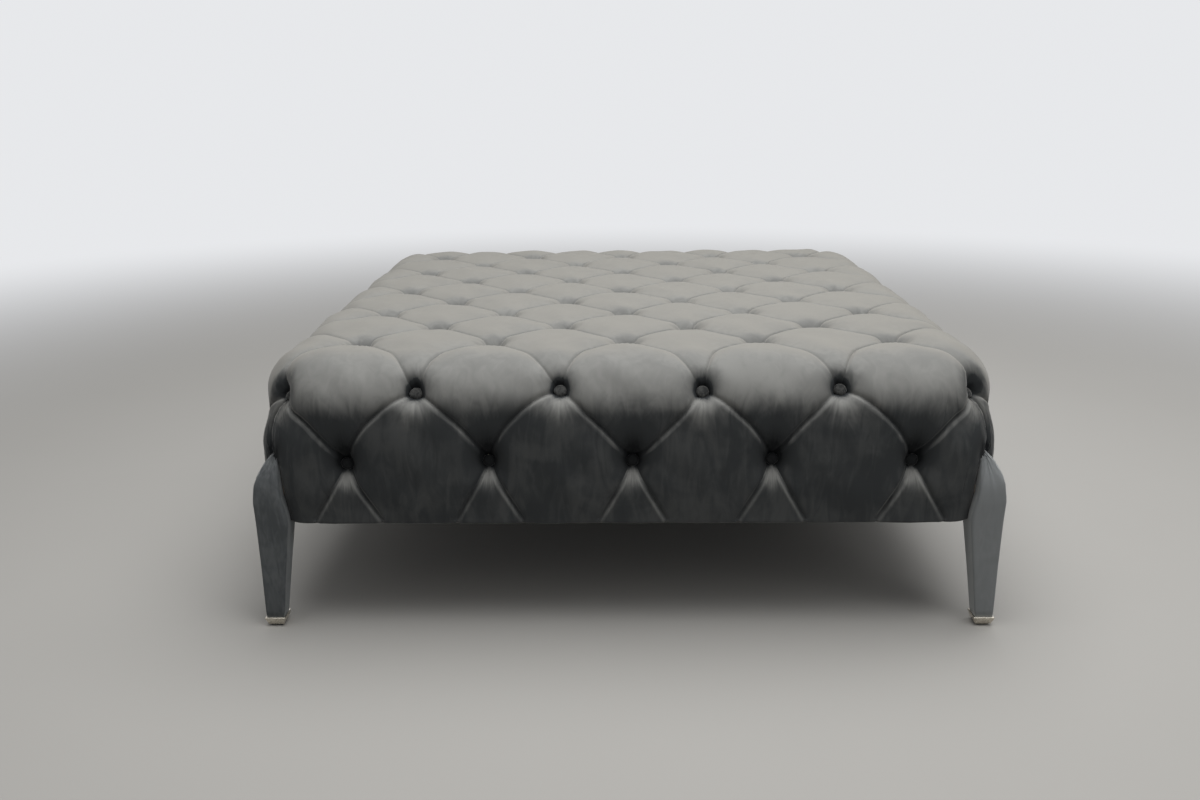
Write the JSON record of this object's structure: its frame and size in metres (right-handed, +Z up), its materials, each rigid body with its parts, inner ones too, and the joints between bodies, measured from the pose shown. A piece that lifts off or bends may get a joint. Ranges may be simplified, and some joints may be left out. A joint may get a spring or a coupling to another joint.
{
  "type": "ottoman coffee table",
  "caption": "Square low ottoman coffee table with a deep-buttoned padded top and sides over a hidden box frame, on tapered corner legs with metal foot caps.",
  "frame": {"origin": "on the floor, under the middle of the table", "axes": "+Z up, -Y out of the front side seen in the picture, +X to the right of that side"},
  "size_m": [1.082, 1.082, 0.408],
  "materials": {
    "velvet": "matt grey velvet with a soft sheen",
    "leg_velvet": "matt grey velvet with a soft sheen",
    "button_velvet": "matt grey velvet stretched over a button",
    "foam": "open-cell upholstery foam",
    "plywood": "bare plywood",
    "beech": "bare wood",
    "black_cloth": "thin black under-cloth",
    "twine": "waxed flat twine",
    "dark_plastic": "moulded plastic",
    "zinc_steel": "zinc plated",
    "cap_metal": "satin, slightly warm"
  },
  "bodies": {
    "root": {"back_pad": "foam", "back_rail": "beech", "corner_block_back_left": "beech", "corner_block_back_right": "beech", "corner_block_front_left": "beech", "corner_block_front_right": "beech", "corner_buttons": "button_velvet", "cross_rail_left": "beech", "cross_rail_right": "beech", "deck": "plywood", "deck_ties": "twine", "deck_toggles": "dark_plastic", "dust_cover": "black_cloth", "edge_buttons": "button_velvet", "foot_cap_back_left": "cap_metal", "foot_cap_back_right": "cap_metal", "foot_cap_front_left": "cap_metal", "foot_cap_front_right": "cap_metal", "front_pad": "foam", "front_rail": "beech", "glide_back_left": "dark_plastic", "glide_back_right": "dark_plastic", "glide_front_left": "dark_plastic", "glide_front_right": "dark_plastic", "left_pad": "foam", "left_rail": "beech", "leg_bolts": "zinc_steel", "leg_core_back_left": "beech", "leg_core_back_right": "beech", "leg_core_front_left": "beech", "leg_core_front_right": "beech", "leg_sleeve_back_left": "leg_velvet", "leg_sleeve_back_right": "leg_velvet", "leg_sleeve_front_left": "leg_velvet", "leg_sleeve_front_right": "leg_velvet", "rail_ties": "twine", "rail_toggles": "dark_plastic", "right_pad": "foam", "right_rail": "beech", "seat_foam": "foam", "side_buttons": "button_velvet", "top_buttons": "button_velvet", "tufted_cover": "velvet"}
  },
  "joints": []
}
